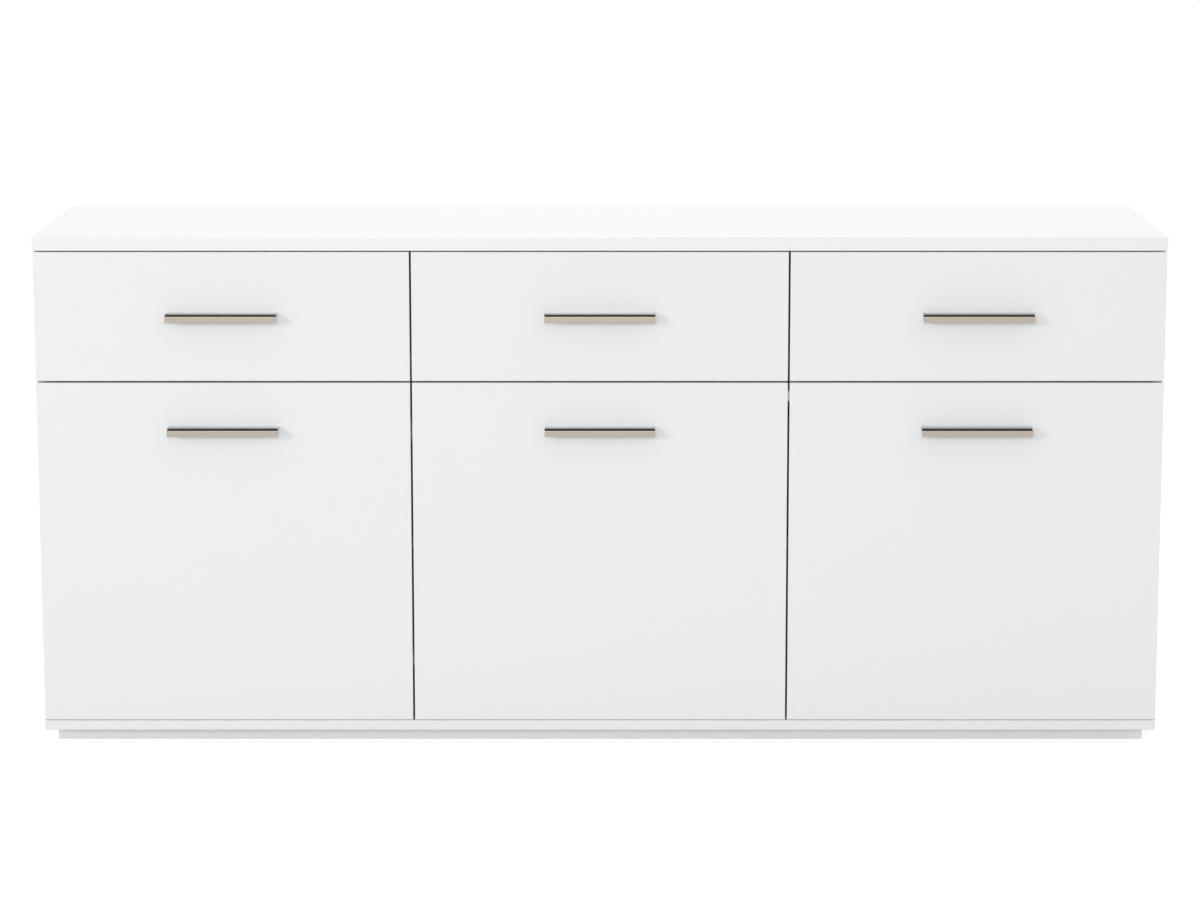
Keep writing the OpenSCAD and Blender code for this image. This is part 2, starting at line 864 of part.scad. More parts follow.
module drawer_sides(i) {
    color(inner_white) difference() {
        on_walls(i) translate([box_x, y_box, z_box]) cube([drawer_side_t, box_len, drawer_side_h]);
        bottom_space(i, fit);
        on_walls(i) at_box_screws() cylinder(r = panel_screw_r + running, h = box_screw_len + fit);
        on_walls(i) at_back_screws() screw_seat(drawer_side_t);
        at_dowels(i) dowel_hole();
    }
}

module drawer_back(i) {
    z0 = z_box + groove_rise + hardboard_t + fit;
    color(inner_white) difference() {
        translate([box_lo(i) + drawer_side_t, drawer_back_y, z0])
            cube([
                box_hi(i) - box_lo(i) - 2 * drawer_side_t,
                drawer_side_t,
                z_box + drawer_side_h - z0
            ]);
        on_walls(i) at_back_screws() cylinder(r = panel_screw_r + running, h = back_screw_len + fit);
    }
}

// Frames of the screws through the runner's web, with +Z pointing into the drawer side
module at_box_screws() {
    for (y = box_screw_ys)
        translate([box_x, y_runner + y, z_runner + box_screw_z]) rotate([0, 90, 0]) children();
}

// Frames of the screws through the sides into the back
module at_back_screws() {
    for (z = back_screw_shares)
        translate([box_x, drawer_back_y + drawer_side_t / 2, z_box + z * drawer_side_h])
            rotate([0, 90, 0]) children();
}

// Seat of a countersunk screw whose head's face is at z = 0, through material of this thickness
module screw_seat(t) {
    translate([0, 0, -1]) cylinder(r = panel_screw_r + running, h = t + 1 + fit);
    translate([0, 0, -fit])
        cylinder(r1 = panel_head_r + 3 * fit, r2 = panel_screw_r + fit, h = panel_head_t + fit);
}

// Middles of the dowels between the drawer sides and the front
module at_dowels(i) {
    for (z = dowel_shares) on_walls(i)
        translate([box_x + drawer_side_t / 2, y_box, z_box + z * drawer_side_h]) children();
}

module dowel_hole() {
    len = dowel_len + 2 * fit;
    translate([0, -len / 2, 0]) rod_y(dowel_r, len);
}

module drawer_fixings(i) {
    color(steel) {
        on_walls(i) at_box_screws() translate([0, 0, -sheet_t])
            pan_screw(panel_screw_r, box_screw_len + sheet_t, box_screw_head_r, box_screw_head_t);
        on_walls(i) at_back_screws()
            countersunk_screw(panel_screw_r, back_screw_len, panel_head_r, panel_head_t);
        handle_screws(i, z_drawer_handle);
    }
    color(beech) at_dowels(i)
        translate([0, -dowel_len / 2, 0]) rod_y(dowel_r - running, dowel_len);
}

// ---------- Handles ----------

handle_len = handle_pitch + 2 * handle_end;
handle_h = handle_step + handle_nose_h;
z_drawer_handle = z_drawer + (drawer_front_h + handle_h) / 2;
z_door_handle = z_door + door_h - door_handle_drop + handle_h / 2;
nose_r = 0.8;

// Section of the handle, x pointing away from the front and y = 0 at the web's upper face
module handle_section() {
    fillet = 2;
    // web, with the corner above the nose eased
    translate([0, -handle_web_t]) square([handle_web_reach - nose_r, handle_web_t]);
    translate([0, -handle_web_t]) square([handle_web_reach, handle_web_t - nose_r]);
    translate([handle_web_reach - nose_r, -nose_r]) circle(nose_r);
    // nose, joined to the web below the step
    translate([handle_web_reach, -handle_h])
        rounded_outline(handle_reach - handle_web_reach, handle_nose_h, nose_r);
    translate([handle_web_reach - 1, -handle_web_t])
        square([1 + nose_r, handle_web_t - handle_step]);
    // fillet in the finger gap, under the web
    difference() {
        translate([handle_web_reach - fillet, -handle_web_t - fillet]) square(fillet);
        translate([handle_web_reach - fillet, -handle_web_t - fillet]) circle(fillet);
    }
}

// Handle on front i whose web's upper face is at height z
module handle(i, z) {
    color(alu) difference() {
        translate([front_mid(i) - handle_len / 2, y_face, z])
            rotate([90, 0, 90]) linear_extrude(handle_len) mirror([1, 0]) handle_section();
        for (x = [-handle_pitch / 2, handle_pitch / 2])
            translate([front_mid(i) + x, y_face - handle_screw_grip - fit, z - handle_web_t / 2])
                rod_y(handle_screw_r, handle_screw_grip + 1);
    }
}

module handle_screw_ways(i, z) {
    for (x = [-handle_pitch / 2, handle_pitch / 2])
        translate([front_mid(i) + x, y_face - 1, z - handle_web_t / 2])
            rod_y(handle_screw_r + 0.25, front_t + 2);
}

// Machine screws from the inside of a front into its handle
module handle_screws(i, z) {
    for (x = [-handle_pitch / 2, handle_pitch / 2])
        translate([front_mid(i) + x, y_face + front_t, z - handle_web_t / 2])
            rotate([90, 0, 0])
                pan_screw(
                    handle_screw_r - running, front_t + handle_screw_grip,
                    handle_head_r, handle_head_t
                );
}

// ---------- Doors ----------

module door_panel(i) {
    color(gloss_white) difference() {
        translate([front_lo(i), y_face, z_door]) front_blank(front_w(i), door_h, front_t);
        handle_screw_ways(i, z_door_handle);
        at_hinges(i) {
            translate([cup_x, cup_y - fit, 0]) rod_y(cup_r + fit, front_t);
            at_flange_screws() cylinder(r = flange_screw_r + running, h = flange_screw_len + fit);
        }
        at_catch(i) at_strike() rod_y(flange_screw_r + running, strike_screw_len + fit);
    }
}

// Frames of the cup's screws, with +Z pointing into the door's back
module at_flange_screws() {
    for (z = [-flange_screw_z, flange_screw_z])
        translate([flange_screw_x, front_t, z]) rotate([90, 0, 0]) children();
}

// Cup with its flange and the two bosses that hold the pin, and the pin itself
module hinge_cup(pin_x) {
    difference() {
        union() {
            translate([cup_x, cup_y, 0]) rod_y(cup_r, cup_depth);
            translate([0, front_t, 0]) rotate([-90, 0, 0]) linear_extrude(flange_t) flange_outline();
        }
        difference() {
            translate([cup_x, cup_y + cup_wall, 0]) rod_y(cup_r - cup_wall, cup_depth + 5);
            cup_bosses(pin_x);
        }
        hinge_pin(pin_x);
        at_flange_screws() translate([0, 0, -flange_t - 1])
            cylinder(r = flange_screw_r + fit, h = flange_t + 2);
    }
}

module hinge_pin(pin_x) {
    translate([pin_x, pin_y, -boss_z - boss_t]) cylinder(r = pin_r, h = 2 * (boss_z + boss_t));
}

module cup_bosses(pin_x) {
    for (z = [-boss_z - boss_t, boss_z])
        translate([0, 0, z]) cube([pin_x + pin_r + boss_wall, pin_y + pin_r + boss_wall, boss_t]);
}

// Flange with two ears, its hung side cut back for the arm
module flange_outline() {
    r = cup_r + flange_rim;
    difference() {
        translate([cup_x, 0]) circle(r);
        translate([cup_x - 2 * r, -r]) square([2 * r - 6, 2 * r]);
    }
    translate([flange_screw_x - flange_ear_r, -flange_screw_z])
        square([2 * flange_ear_r, 2 * flange_screw_z]);
    for (z = [-flange_screw_z, flange_screw_z]) translate([flange_screw_x, z]) circle(flange_ear_r);
}

module door_hinge_cups(i) {
    color(steel) at_hinges(i) {
        hinge_cup(pin_u(i));
        hinge_pin(pin_u(i));
    }
}

// Radius that the door's back corner sweeps about the pin
function sweep_r(i) = norm([pin_u(i), front_t - pin_y]);
// Face of the arm's leg that looks at the opened door
function leg_u(i) = i == MIDDLE ? pin_u(i) + sweep_r(i) * cos(45) + leg_air : wall_u(i) + plate_t;
function spacer(i) = i == MIDDLE ? inset_spacer : 0;
function channel_u(i) = wall_u(i) + plate_t + spacer(i);
channel_y = y_edge - y_face + arm_start;

// Fixed arm: an eye on the door's pin, a bar out of the cup and a channel over the wall plate
module hinge_arm(i) {
    px = pin_u(i);
    leg = leg_u(i);
    back = channel_u(i);
    turn_y = i == MIDDLE ? pin_y + sweep_r(i) + leg_air : channel_y;
    translate([0, 0, -eye_h / 2]) linear_extrude(eye_h) difference() {
        union() {
            translate([px, pin_y]) circle(eye_r);
            translate([px, pin_y - bar_t / 2]) square([leg - px, bar_t]);
            translate([leg, pin_y + bar_t / 2]) circle(bar_t);
            translate([leg, pin_y + bar_t / 2]) square([bar_t, turn_y - pin_y + bar_t / 2]);
            if (i == MIDDLE) {
                translate([leg, turn_y]) circle(bar_t);
                translate([back, turn_y]) square([leg - back, bar_t]);
                translate([back, turn_y]) square([bar_t, channel_y - turn_y + 2]);
            } else {
                translate([leg, turn_y - 2]) square([bar_t, 4]);
            }
        }
        translate([px, pin_y]) circle(pin_r + running);
        translate([leg - bar_t, pin_y + bar_t / 2]) square([bar_t, bar_t + 1]);
    }
    difference() {
        translate([back, channel_y, -arm_w / 2]) cube([arm_h, arm_len, arm_w]);
        translate([back - 1, channel_y + arm_wall, -arm_w / 2 + arm_wall])
            cube([arm_h - arm_wall + 1, arm_len, arm_w - 2 * arm_wall]);
        for (y = arm_screw_ys) translate([back, channel_y + y, 0]) rod_x(arm_screw_r + fit, arm_h + 1);
    }
}

// Adjusting screws through the channel into the plate's block
module arm_screws(i) {
    for (y = arm_screw_ys)
        translate([channel_u(i) + arm_h, channel_y + y, 0]) rotate([0, -90, 0])
            pan_screw(arm_screw_r, arm_screw_len, arm_screw_head_r, arm_screw_head_t);
}

module hinge_arms() {
    color(steel) for (i = BAYS) at_hinges(i) {
        hinge_arm(i);
        arm_screws(i);
    }
}

// Wall plate: a cross with two screw ears and a raised block inside the arm's channel
module hinge_plate(i) {
    u = wall_u(i);
    block_w = arm_w - 2 * arm_wall - 2 * fit;
    block_h = spacer(i) + arm_h - arm_wall - fit;
    screw_y = y_edge - y_face + system_y;
    difference() {
        union() {
            translate([u, channel_y + 2, -arm_w / 2]) cube([plate_t, arm_len + 2, arm_w]);
            translate([u, screw_y, 0]) rotate([0, 90, 0]) linear_extrude(plate_t) {
                translate([-plate_screw_z, -plate_ear_w / 2]) square([2 * plate_screw_z, plate_ear_w]);
                for (z = [-plate_screw_z, plate_screw_z]) translate([z, 0]) circle(plate_ear_w / 2);
            }
            translate([u + plate_t, channel_y + 4, -block_w / 2])
                cube([block_h, arm_len - 6, block_w]);
        }
        at_plate_screws(i) translate([0, 0, -plate_t - 1])
            cylinder(r = panel_screw_r + fit, h = plate_t + 2);
        for (y = arm_screw_ys)
            translate([channel_u(i) + arm_h - arm_screw_len - fit, channel_y + y, 0])
                rod_x(arm_screw_r + fit, arm_screw_len);
    }
}

module hinge_plates() {
    color(steel) for (i = BAYS) at_hinges(i) hinge_plate(i);
}

// ---------- Catches ----------

// Middle of a strike plate on the back of a door, with +Y pointing into the door
module at_strike() {
    translate([catch_w / 2, y_face + front_t, 0]) mirror([0, 1, 0]) children();
}

module magnet_catches() {
    y0 = y_face + front_t + strike_t + strike_air;
    color(runner_white) for (i = BAYS) at_catch(i) difference() {
        union() {
            translate([0, y0, -catch_h / 2]) cube([catch_w, catch_len, catch_h]);
            translate([0, y_edge + catch_screw_y, 0]) rotate([0, 90, 0]) linear_extrude(catch_ear_t) {
                translate([-catch_screw_z, -catch_ear_w / 2]) square([2 * catch_screw_z, catch_ear_w]);
                for (z = [-1, 1]) translate([z * catch_screw_z, 0]) circle(catch_ear_w / 2);
            }
        }
        for (x = [pole_edge, catch_w - pole_edge - pole_t])
            translate([x, y0 - 1, -catch_h / 2 + pole_edge])
                cube([pole_t, 1 + pole_sink, catch_h - 2 * pole_edge]);
        at_catch_screws() translate([0, 0, -catch_ear_t - 1])
            cylinder(r = panel_screw_r + fit, h = catch_ear_t + 2);
    }
}

// Strike plate with its screw, the cups' screws and the handle's screws
module door_fixings(i) {
    color(steel) {
        handle_screws(i, z_door_handle);
        at_hinges(i) at_flange_screws() translate([0, 0, -flange_t])
            pan_screw(
                flange_screw_r, flange_screw_len + flange_t,
                flange_screw_head_r, flange_screw_head_t
            );
        at_catch(i) at_strike() strike_plate();
    }
}

// Steel plate that the magnet holds, with its screw riveted flush in it
module strike_plate() {
    w = catch_w - 2;
    difference() {
        translate([-w / 2, -strike_t, -catch_h / 2]) cube([w, strike_t, catch_h]);
        translate([0, -strike_t - 1, 0]) rod_y(flange_screw_r, strike_t + 2);
    }
    translate([0, -strike_t, 0]) rod_y(flange_screw_r, strike_t + strike_screw_len);
}

top_panel();
base_panel();
plinth_front();
plinth_back();
plinth_ends();
side_left();
side_right();
divider_left();
divider_right();
floor_boards();
back_panels();
shelves();
shelf_pins();
cabinet_runners();
cabinet_rollers(LEFT);  // cabinet_rollers_left
cabinet_rollers(MIDDLE);  // cabinet_rollers_middle
cabinet_rollers(RIGHT);  // cabinet_rollers_right
hinge_arms();
hinge_plates();
panel_screws();
magnet_catches();
cam_fittings();
base_screws();
back_nails();
door_panel(LEFT);  // door_left_panel
door_hinge_cups(LEFT);  // door_left_hinge_cups
handle(LEFT, z_door_handle);  // door_left_handle
door_fixings(LEFT);  // door_left_fixings
door_panel(MIDDLE);  // door_middle_panel
door_hinge_cups(MIDDLE);  // door_middle_hinge_cups
handle(MIDDLE, z_door_handle);  // door_middle_handle
door_fixings(MIDDLE);  // door_middle_fixings
door_panel(RIGHT);  // door_right_panel
door_hinge_cups(RIGHT);  // door_right_hinge_cups
handle(RIGHT, z_door_handle);  // door_right_handle
door_fixings(RIGHT);  // door_right_fixings
drawer_front(LEFT);  // drawer_left_front
drawer_sides(LEFT);  // drawer_left_sides
drawer_back(LEFT);  // drawer_left_back
drawer_bottom(LEFT);  // drawer_left_bottom
drawer_runners(LEFT);  // drawer_left_runners
drawer_rollers(LEFT);  // drawer_left_rollers
handle(LEFT, z_drawer_handle);  // drawer_left_handle
drawer_fixings(LEFT);  // drawer_left_fixings
drawer_front(MIDDLE);  // drawer_middle_front
drawer_sides(MIDDLE);  // drawer_middle_sides
drawer_back(MIDDLE);  // drawer_middle_back
drawer_bottom(MIDDLE);  // drawer_middle_bottom
drawer_runners(MIDDLE);  // drawer_middle_runners
drawer_rollers(MIDDLE);  // drawer_middle_rollers
handle(MIDDLE, z_drawer_handle);  // drawer_middle_handle
drawer_fixings(MIDDLE);  // drawer_middle_fixings
drawer_front(RIGHT);  // drawer_right_front
drawer_sides(RIGHT);  // drawer_right_sides
drawer_back(RIGHT);  // drawer_right_back
drawer_bottom(RIGHT);  // drawer_right_bottom
drawer_runners(RIGHT);  // drawer_right_runners
drawer_rollers(RIGHT);  // drawer_right_rollers
handle(RIGHT, z_drawer_handle);  // drawer_right_handle
drawer_fixings(RIGHT);  // drawer_right_fixings
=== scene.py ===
"""Finishes and studio for a white gloss sideboard with three drawers over three doors."""

import math

import bmesh
import bpy
from mathutils import Matrix, Vector


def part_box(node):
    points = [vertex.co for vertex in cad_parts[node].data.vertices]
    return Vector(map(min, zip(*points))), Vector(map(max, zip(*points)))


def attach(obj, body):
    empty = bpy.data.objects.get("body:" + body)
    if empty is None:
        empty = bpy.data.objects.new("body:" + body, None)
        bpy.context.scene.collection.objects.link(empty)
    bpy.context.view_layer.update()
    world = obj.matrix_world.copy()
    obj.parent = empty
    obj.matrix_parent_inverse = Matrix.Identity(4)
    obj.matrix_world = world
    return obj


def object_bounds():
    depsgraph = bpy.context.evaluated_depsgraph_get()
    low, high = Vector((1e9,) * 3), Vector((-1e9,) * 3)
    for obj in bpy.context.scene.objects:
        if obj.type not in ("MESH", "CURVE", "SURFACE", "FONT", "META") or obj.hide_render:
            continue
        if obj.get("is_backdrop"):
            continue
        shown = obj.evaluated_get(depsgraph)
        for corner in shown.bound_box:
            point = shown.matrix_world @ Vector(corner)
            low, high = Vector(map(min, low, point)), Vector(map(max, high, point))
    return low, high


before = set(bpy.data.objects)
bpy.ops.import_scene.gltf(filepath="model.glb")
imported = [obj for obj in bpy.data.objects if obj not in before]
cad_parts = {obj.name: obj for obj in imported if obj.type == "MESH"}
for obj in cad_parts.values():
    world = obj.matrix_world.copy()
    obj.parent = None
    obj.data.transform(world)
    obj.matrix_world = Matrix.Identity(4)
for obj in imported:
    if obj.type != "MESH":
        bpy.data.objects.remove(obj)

bl_info = {
    "name": "White Gloss Sideboard",
    "version": (1, 0, 0),
    "blender": (4, 5, 0),
    "location": "3D View > Sidebar > Sideboard",
    "description": "Finishes, handle inlays, bumpers and studio for a white gloss sideboard",
    "category": "Object",
}

MM = 0.001
BAYS = ("left", "middle", "right")
FRONT_KINDS = ("door", "drawer")
# Place and width in metres, and tint, of each soft lamp
LAMPS = {
    "front": ((-0.5, -6.45, 2.25), 1.8, "fffdfc"),
    "key": ((-7.5, -7.7, 3.1), 2.2, "fffaf6"),
    "top": ((0.0, 0.9, 3.8), 2.4, "ffffff"),
    "back": ((4.4, 4.0, 2.4), 2.0, "ffffff"),
}
HANDLE_WEB_REACH = 16 * MM
HANDLE_STEP = 3 * MM


def linear(hex_code):
    """RGBA in linear light from an sRGB hex value such as "f1f3f4"."""
    channels = [int(hex_code[i:i + 2], 16) / 255 for i in (0, 2, 4)]
    return [c / 12.92 if c <= 0.04045 else ((c + 0.055) / 1.055) ** 2.4 for c in channels] + [1]


def colour_prop(name, description, hex_code):
    """Colour property with its default from an sRGB hex value."""
    return bpy.props.FloatVectorProperty(
        name=name, description=description, subtype="COLOR", size=4, min=0, max=1,
        default=linear(hex_code),
    )


def length_prop(name, description, default):
    """Length property in metres."""
    return bpy.props.FloatProperty(
        name=name, description=description, default=default, subtype="DISTANCE", unit="LENGTH",
    )


def angle_prop(name, description, degrees):
    """Angle property with its default in degrees."""
    return bpy.props.FloatProperty(
        name=name, description=description, default=math.radians(degrees), subtype="ANGLE",
    )


def factor_prop(name, description, default):
    """Property for a share from 0 to 1."""
    return bpy.props.FloatProperty(
        name=name, description=description, default=default, min=0, max=1, subtype="FACTOR",
    )


def power_prop(name, description, watts):
    """Power of a lamp."""
    return bpy.props.FloatProperty(
        name=name, description=description, default=watts, min=0, subtype="POWER", unit="POWER",
    )


class BoardSettings(bpy.types.PropertyGroup):
    """Colours and gloss of the boards."""

    # Painted light: the top's film is the fronts' white made lighter, standing for the overhead light
    # falling on the top
    top_white_painted_lit: colour_prop("Top white, painted light", "Lacquer film on the top panel", "f3f4f5")
    front_white: colour_prop("Front white", "Lacquer film on the fronts, base and plinth", "eff1f2")
    inner_white: colour_prop("Inner white", "Melamine on the carcass boards and drawer boxes", "e6e7e6")
    chip_pale: colour_prop("Chip, pale", "Palest chips of the raw chipboard", "b9a27c")
    chip_dark: colour_prop("Chip, dark", "Darkest chips of the raw chipboard", "5f4a30")
    hardboard_white: colour_prop("Hardboard white", "Painted face of the hardboard", "e9e8e4")
    hardboard_brown: colour_prop("Hardboard brown", "Bare rear face of the hardboard", "8a6542")
    gloss_roughness: factor_prop("Gloss roughness", "Roughness of the lacquer film", 0.06)


class MetalSettings(bpy.types.PropertyGroup):
    """Colours of the metal and plastic fittings."""

    # Painted reflections on one brushed aluminium: the web's cooler silver stands for the sky mirrored on
    # its upper face, the nose's warmer tone for the floor mirrored in it
    web_metal_painted_sky_reflection: colour_prop("Web metal, painted sky reflection", "Silver web that holds a handle's nose", "bcbfc2")
    nose_metal_painted_floor_reflection: colour_prop("Nose metal, painted floor reflection", "Warmer nose of each handle", "b9afa2")
    # Painted shade: this dark colour goes on a strip laid in each handle's step, standing for the shade in
    # the step
    handle_step_painted_shade: colour_prop("Handle step painted shade", "Painted shade: dark strip in the step of each handle", "38220f")
    nickel: colour_prop("Nickel", "Hinges, screws, nails and pins", "c3c4c2")
    runner_coat: colour_prop("Runner coat", "Powder coat on the runners", "e9e9e6")
    nylon: colour_prop("Nylon", "Rollers", "dcdcd4")
    catch_plastic: colour_prop("Catch plastic", "Bodies of the magnet catches", "e6e6e2")
    # Size of the dark strip that paints the shade in each handle's step
    shade_strip_thickness: length_prop("Shade strip thickness", "How far the painted shade strip stands out of the step", 0.4 * MM)
    shade_strip_lip: length_prop("Shade strip lip", "How far the painted shade strip lies on the nose's upper face", 5 * MM)


class BumperSettings(bpy.types.PropertyGroup):
    """Sizes of the clear bumpers behind the fronts."""

    radius: length_prop("Radius", "Radius of a bumper", 4 * MM)
    height: length_prop("Height", "Height of a bumper above the board", 2.2 * MM)
    inset: length_prop("Inset", "Distance of a bumper from the ends of its front", 12 * MM)
    tint: colour_prop("Tint", "Clear silicone", "f4f6f6")


class StageSettings(bpy.types.PropertyGroup):
    """Camera, lamps and floor."""

    camera_distance: length_prop("Camera distance", "From the camera to the fronts", 5.0)
    camera_height: length_prop("Camera height", "Above the floor", 1.519)
    camera_side: length_prop("Camera side", "To the right of the middle", 0.017)
    camera_tilt: angle_prop("Camera tilt", "Below the horizon", 8.76)
    camera_lens: bpy.props.FloatProperty(
        name="Camera lens", description="Focal length in millimetres", default=95.7)
    shift_x: bpy.props.FloatProperty(name="Shift X", description="Camera shift", default=-0.0088)
    shift_y: bpy.props.FloatProperty(name="Shift Y", description="Camera shift", default=-0.135)
    floor_tone: colour_prop("Floor", "Plain pale floor", "ebe9e6")
    sky_tone: colour_prop("Sky tone", "Soft light from all round", "f9fcff")
    floor_lift: bpy.props.FloatProperty(
        name="Floor lift", description="Brightness added to the floor in the camera's view", default=0.5)
    sky_strength: bpy.props.FloatProperty(
        name="Sky", description="Strength of the soft light from all round", default=0.69)
    front_power: power_prop("Front", "Power of the large lamp above the camera", 63.5)
    key_power: power_prop("Key", "Power of the lamp on the left", 219.0)
    top_power: power_prop("Top", "Power of the lamp overhead", 31.0)
    back_power: power_prop("Back", "Power of the lamp behind the sideboard", 20.0)


def add_node(tree, kind, inputs=None, **settings):
    """Adds a node with its settings, and gives each named input a value or another node's output."""
    node = tree.nodes.new(kind)
    for key, value in settings.items():
        setattr(node, key, value)
    for socket, value in (inputs or {}).items():
        if isinstance(value, bpy.types.NodeSocket):
            tree.links.new(value, node.inputs[socket])
        else:
            node.inputs[socket].default_value = value
    return node


def new_material(name):
    """Empty node material, and its node tree."""
    material = bpy.data.materials.new(name)
    material.use_nodes = True
    material.node_tree.nodes.clear()
    return material, material.node_tree


def mirrored_rays(tree):
    """1 for the rays in which metal, gloss and glass show the background."""
    path = add_node(tree, "ShaderNodeLightPath").outputs
    either = add_node(
        tree, "ShaderNodeMath",
        {0: path["Is Glossy Ray"], 1: path["Is Transmission Ray"]}, operation="MAXIMUM",
    )
    return either.outputs["Value"]


def mix_shader(tree, share, first, second):
    """Shader that passes from the first to the second as the share goes from 0 to 1."""
    return add_node(tree, "ShaderNodeMixShader", {"Fac": share, 1: first, 2: second}).outputs["Shader"]


def close_material(tree, inputs):
    """Principled shader with these inputs, joined to the material's output."""
    shader = add_node(tree, "ShaderNodeBsdfPrincipled", inputs)
    add_node(tree, "ShaderNodeOutputMaterial", {"Surface": shader.outputs["BSDF"]})


def local_position(tree, scale=(1, 1, 1)):
    """Position on the piece itself, so that the pattern moves with it."""
    place = add_node(tree, "ShaderNodeTexCoord").outputs["Object"]
    return add_node(tree, "ShaderNodeMapping", {"Vector": place, "Scale": scale}).outputs["Vector"]


def finish(nodes, material):
    """Gives CAD nodes a material."""
    for name in nodes:
        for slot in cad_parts[name].material_slots:
            slot.material = material


def gloss_film(name, colour, roughness):
    """High gloss lacquered film pressed on chipboard: near mirror reflections, with the slow waviness
    that a thin film takes from the chips under it."""
    material, tree = new_material(name)
    wave = add_node(
        tree, "ShaderNodeTexNoise",
        {"Vector": local_position(tree), "Scale": 1 / (14 * MM), "Detail": 2, "Roughness": 0.4},
    )
    bump = add_node(
        tree, "ShaderNodeBump",
        {"Height": wave.outputs["Fac"], "Strength": 0.04, "Distance": 0.15 * MM},
    )
    close_material(tree, {
        "Base Color": colour, "Roughness": roughness, "IOR": 1.5, "Normal": bump.outputs["Normal"],
    })
    return material


def melamine(name, colour):
    """Melamine faced chipboard, pressed with a fine pearl grain, so that it is pale and silky."""
    material, tree = new_material(name)
    grain = add_node(
        tree, "ShaderNodeTexNoise",
        {"Vector": local_position(tree), "Scale": 1 / (1.2 * MM), "Detail": 3},
    )
    bump = add_node(
        tree, "ShaderNodeBump",
        {"Height": grain.outputs["Fac"], "Strength": 0.25, "Distance": 0.05 * MM},
    )
    close_material(tree, {
        "Base Color": colour, "Roughness": 0.42, "IOR": 1.5, "Normal": bump.outputs["Normal"],
    })
    return material


def raw_chipboard(pale, dark):
    """Raw chipboard, pressed from chips a few millimetres long: tan flecks on a darker ground."""
    material, tree = new_material("Chipboard, raw")
    chips = add_node(
        tree, "ShaderNodeTexVoronoi",
        {"Vector": local_position(tree, (1, 1, 2.5)), "Scale": 1 / (3.5 * MM), "Randomness": 1},
    )
    fleck = add_node(tree, "ShaderNodeSeparateColor", {"Color": chips.outputs["Color"]})
    dust = add_node(
        tree, "ShaderNodeTexNoise",
        {"Vector": local_position(tree), "Scale": 1 / (0.9 * MM), "Detail": 3},
    )
    tone = add_node(
        tree, "ShaderNodeMath", {0: fleck.outputs["Red"], 1: dust.outputs["Fac"]}, operation="MULTIPLY",
    )
    colour = add_node(
        tree, "ShaderNodeMix",
        {"Factor": tone.outputs["Value"], "A": pale, "B": dark}, data_type="RGBA",
    )
    bump = add_node(
        tree, "ShaderNodeBump",
        {"Height": tone.outputs["Value"], "Strength": 0.5, "Distance": 0.2 * MM},
    )
    close_material(tree, {
        "Base Color": colour.outputs["Result"], "Roughness": 0.85, "Normal": bump.outputs["Normal"],
    })
    return material


def hardboard(name, white, brown):
    """Hardboard pressed from fine fibre: painted white on the inside, brown and bare behind."""
    material, tree = new_material(name)
    fibre = add_node(
        tree, "ShaderNodeTexNoise",
        {"Vector": local_position(tree), "Scale": 1 / (2.5 * MM), "Detail": 6, "Roughness": 0.7},
    )
    shade = add_node(
        tree, "ShaderNodeMapRange", {"Value": fibre.outputs["Fac"], "To Min": 0.85, "To Max": 1.1},
    )
    bare = add_node(
        tree, "ShaderNodeVectorMath",
        {0: brown[:3], "Scale": shade.outputs["Result"]}, operation="SCALE",
    )
    facing = add_node(tree, "ShaderNodeTexCoord").outputs["Normal"]
    split = add_node(tree, "ShaderNodeSeparateXYZ", {"Vector": facing})
    rear = add_node(
        tree, "ShaderNodeMath", {0: split.outputs["Y"], 1: 0.5}, operation="GREATER_THAN",
    )
    colour = add_node(
        tree, "ShaderNodeMix",
        {"Factor": rear.outputs["Value"], "A": white, "B": bare.outputs["Vector"]}, data_type="RGBA",
    )
    close_material(tree, {"Base Color": colour.outputs["Result"], "Roughness": 0.6})
    return material


def brushed_metal(web, nose, riser_y):
    """Extruded aluminium, brushed along its length. The web, behind the riser, is a cooler silver as a
    painted reflection of the sky, and the nose, in front of the riser, a warmer tone as a painted
    reflection of the floor.
    The scratches are 0.1 mm apart on the real thing and are drawn four times as coarse, so that they show."""
    material, tree = new_material("Aluminium, brushed and anodised")
    place = add_node(tree, "ShaderNodeTexCoord").outputs["Object"]
    depth = add_node(tree, "ShaderNodeSeparateXYZ", {"Vector": place}).outputs["Y"]
    # Web behind the riser takes the painted sky reflection colour, the nose in front takes the painted
    # floor reflection colour
    behind = add_node(tree, "ShaderNodeMath", {0: depth, 1: riser_y}, operation="GREATER_THAN")
    colour = add_node(
        tree, "ShaderNodeMix", {"Factor": behind.outputs["Value"], "A": nose, "B": web}, data_type="RGBA",
    )
    scratches = add_node(
        tree, "ShaderNodeTexNoise",
        {"Vector": local_position(tree, (0.01, 1, 1)), "Scale": 1 / (0.4 * MM), "Detail": 3},
    )
    roughness = add_node(
        tree, "ShaderNodeMapRange", {"Value": scratches.outputs["Fac"], "To Min": 0.24, "To Max": 0.4},
    )
    bump = add_node(
        tree, "ShaderNodeBump",
        {"Height": scratches.outputs["Fac"], "Strength": 0.25, "Distance": 0.03 * MM},
    )
    close_material(tree, {
        "Base Color": colour.outputs["Result"], "Metallic": 1, "Roughness": roughness.outputs["Result"],
        "Normal": bump.outputs["Normal"],
    })
    return material


def plated_steel(colour):
    """Pressed and turned steel, nickel plated: bright, with faint tool marks."""
    material, tree = new_material("Steel, nickel plated")
    marks = add_node(
        tree, "ShaderNodeTexNoise",
        {"Vector": local_position(tree), "Scale": 1 / (0.8 * MM), "Detail": 2},
    )
    roughness = add_node(
        tree, "ShaderNodeMapRange", {"Value": marks.outputs["Fac"], "To Min": 0.16, "To Max": 0.3},
    )
    close_material(tree, {"Base Color": colour, "Metallic": 1, "Roughness": roughness.outputs["Result"]})
    return material


